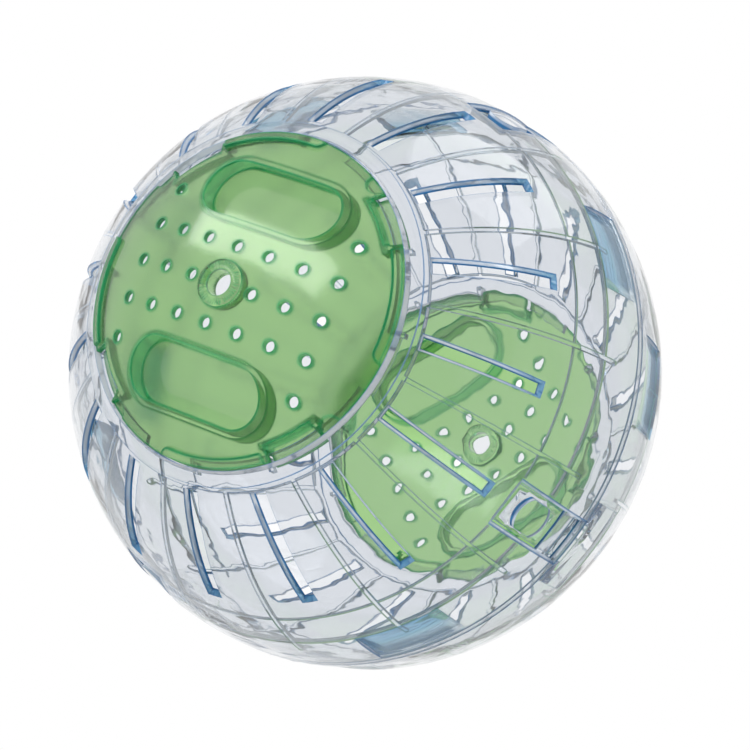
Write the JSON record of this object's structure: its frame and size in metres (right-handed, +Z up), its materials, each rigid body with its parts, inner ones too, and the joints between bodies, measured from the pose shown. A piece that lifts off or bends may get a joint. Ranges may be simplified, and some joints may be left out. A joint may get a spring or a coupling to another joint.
{
  "type": "pet exercise ball",
  "caption": "Clear slotted ball in two clipped halves, with a green twist door with finger grips and air holes at each end.",
  "frame": {"origin": "centre of the ball", "axes": "+Y along the door axis toward the rear door, +X along the rows of air holes, +Z up"},
  "size_m": [0.19, 0.1914, 0.19],
  "materials": {
    "clear_plastic": "clear moulded plastic, polished",
    "green_plastic": "translucent tinted plastic, polished"
  },
  "bodies": {
    "ball": {"front_half_shell": "clear_plastic", "rear_half_shell": "clear_plastic"},
    "front_door_body": {"front_door": "green_plastic"},
    "rear_door_body": {"rear_door": "green_plastic"}
  },
  "joints": [
    {"name": "front_door_twist", "type": "hinge", "parent": "ball", "child": "front_door_body", "pos_m": [0, 0, 0], "axis": [0, -1, 0], "range_deg": [0, 40]},
    {"name": "rear_door_twist", "type": "hinge", "parent": "ball", "child": "rear_door_body", "pos_m": [0, 0, 0], "axis": [0, 1, 0], "range_deg": [0, 40]}
  ]
}
